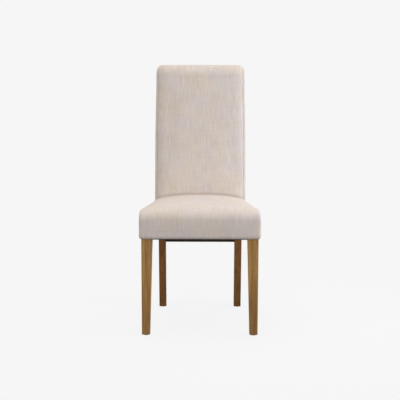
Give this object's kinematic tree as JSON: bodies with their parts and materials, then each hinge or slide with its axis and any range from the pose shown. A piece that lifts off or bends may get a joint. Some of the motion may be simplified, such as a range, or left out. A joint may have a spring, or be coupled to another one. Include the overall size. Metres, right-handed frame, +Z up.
{
  "type": "scroll back dining chair",
  "caption": "Upholstered dining chair with a raked back that rolls over into a scroll, a crowned seat and tapered oak legs.",
  "frame": {"origin": "on the floor, under the middle of the chair's box", "axes": "+X to the right as seen from the front, +Y to the rear, +Z up"},
  "size_m": [0.4698, 0.62, 1.055],
  "materials": {
    "oak": "oiled",
    "stained_rail": "dark stain",
    "frame_wood": "planed",
    "dowel_wood": "fluted",
    "steel": "zinc plated",
    "nylon": "moulded",
    "webbing": "woven",
    "hessian": "coarse weave",
    "dust_cloth": "non-woven",
    "foam": "open cell",
    "board": "smooth",
    "linen": "plain weave"
  },
  "bodies": {
    "root": {"front_leg_left": "oak", "front_leg_right": "oak", "back_post_left": "oak", "back_post_right": "oak", "rear_seat_rail": "stained_rail", "front_seat_rail": "frame_wood", "left_seat_rail": "frame_wood", "right_seat_rail": "frame_wood", "front_left_corner_block": "frame_wood", "front_right_corner_block": "frame_wood", "rear_left_corner_block": "frame_wood", "rear_right_corner_block": "frame_wood", "lower_back_rail": "frame_wood", "upper_back_rail": "frame_wood", "scroll_rail": "frame_wood", "seat_rail_dowels": "dowel_wood", "back_rail_dowels": "dowel_wood", "corner_block_screws": "steel", "glide_nails": "steel", "front_left_glide": "nylon", "front_right_glide": "nylon", "rear_left_glide": "nylon", "rear_right_glide": "nylon", "seat_strap_lengthwise_1": "webbing", "seat_strap_lengthwise_2": "webbing", "seat_strap_lengthwise_3": "webbing", "seat_strap_lengthwise_4": "webbing", "seat_strap_crosswise_1": "webbing", "seat_strap_crosswise_2": "webbing", "seat_strap_crosswise_3": "webbing", "seat_strap_crosswise_4": "webbing", "back_strap_1": "webbing", "back_strap_2": "webbing", "back_strap_3": "webbing", "back_strap_4": "webbing", "platform_cloth": "hessian", "dust_cover": "dust_cloth", "seat_foam": "foam", "seat_wadding": "foam", "inside_back_foam": "foam", "scroll_foam": "foam", "left_side_foam": "foam", "right_side_foam": "foam", "outside_back_board": "board", "seat_cover": "linen", "inside_back_cover": "linen", "outside_back_cover": "linen", "left_side_cover": "linen", "right_side_cover": "linen"}
  },
  "joints": []
}
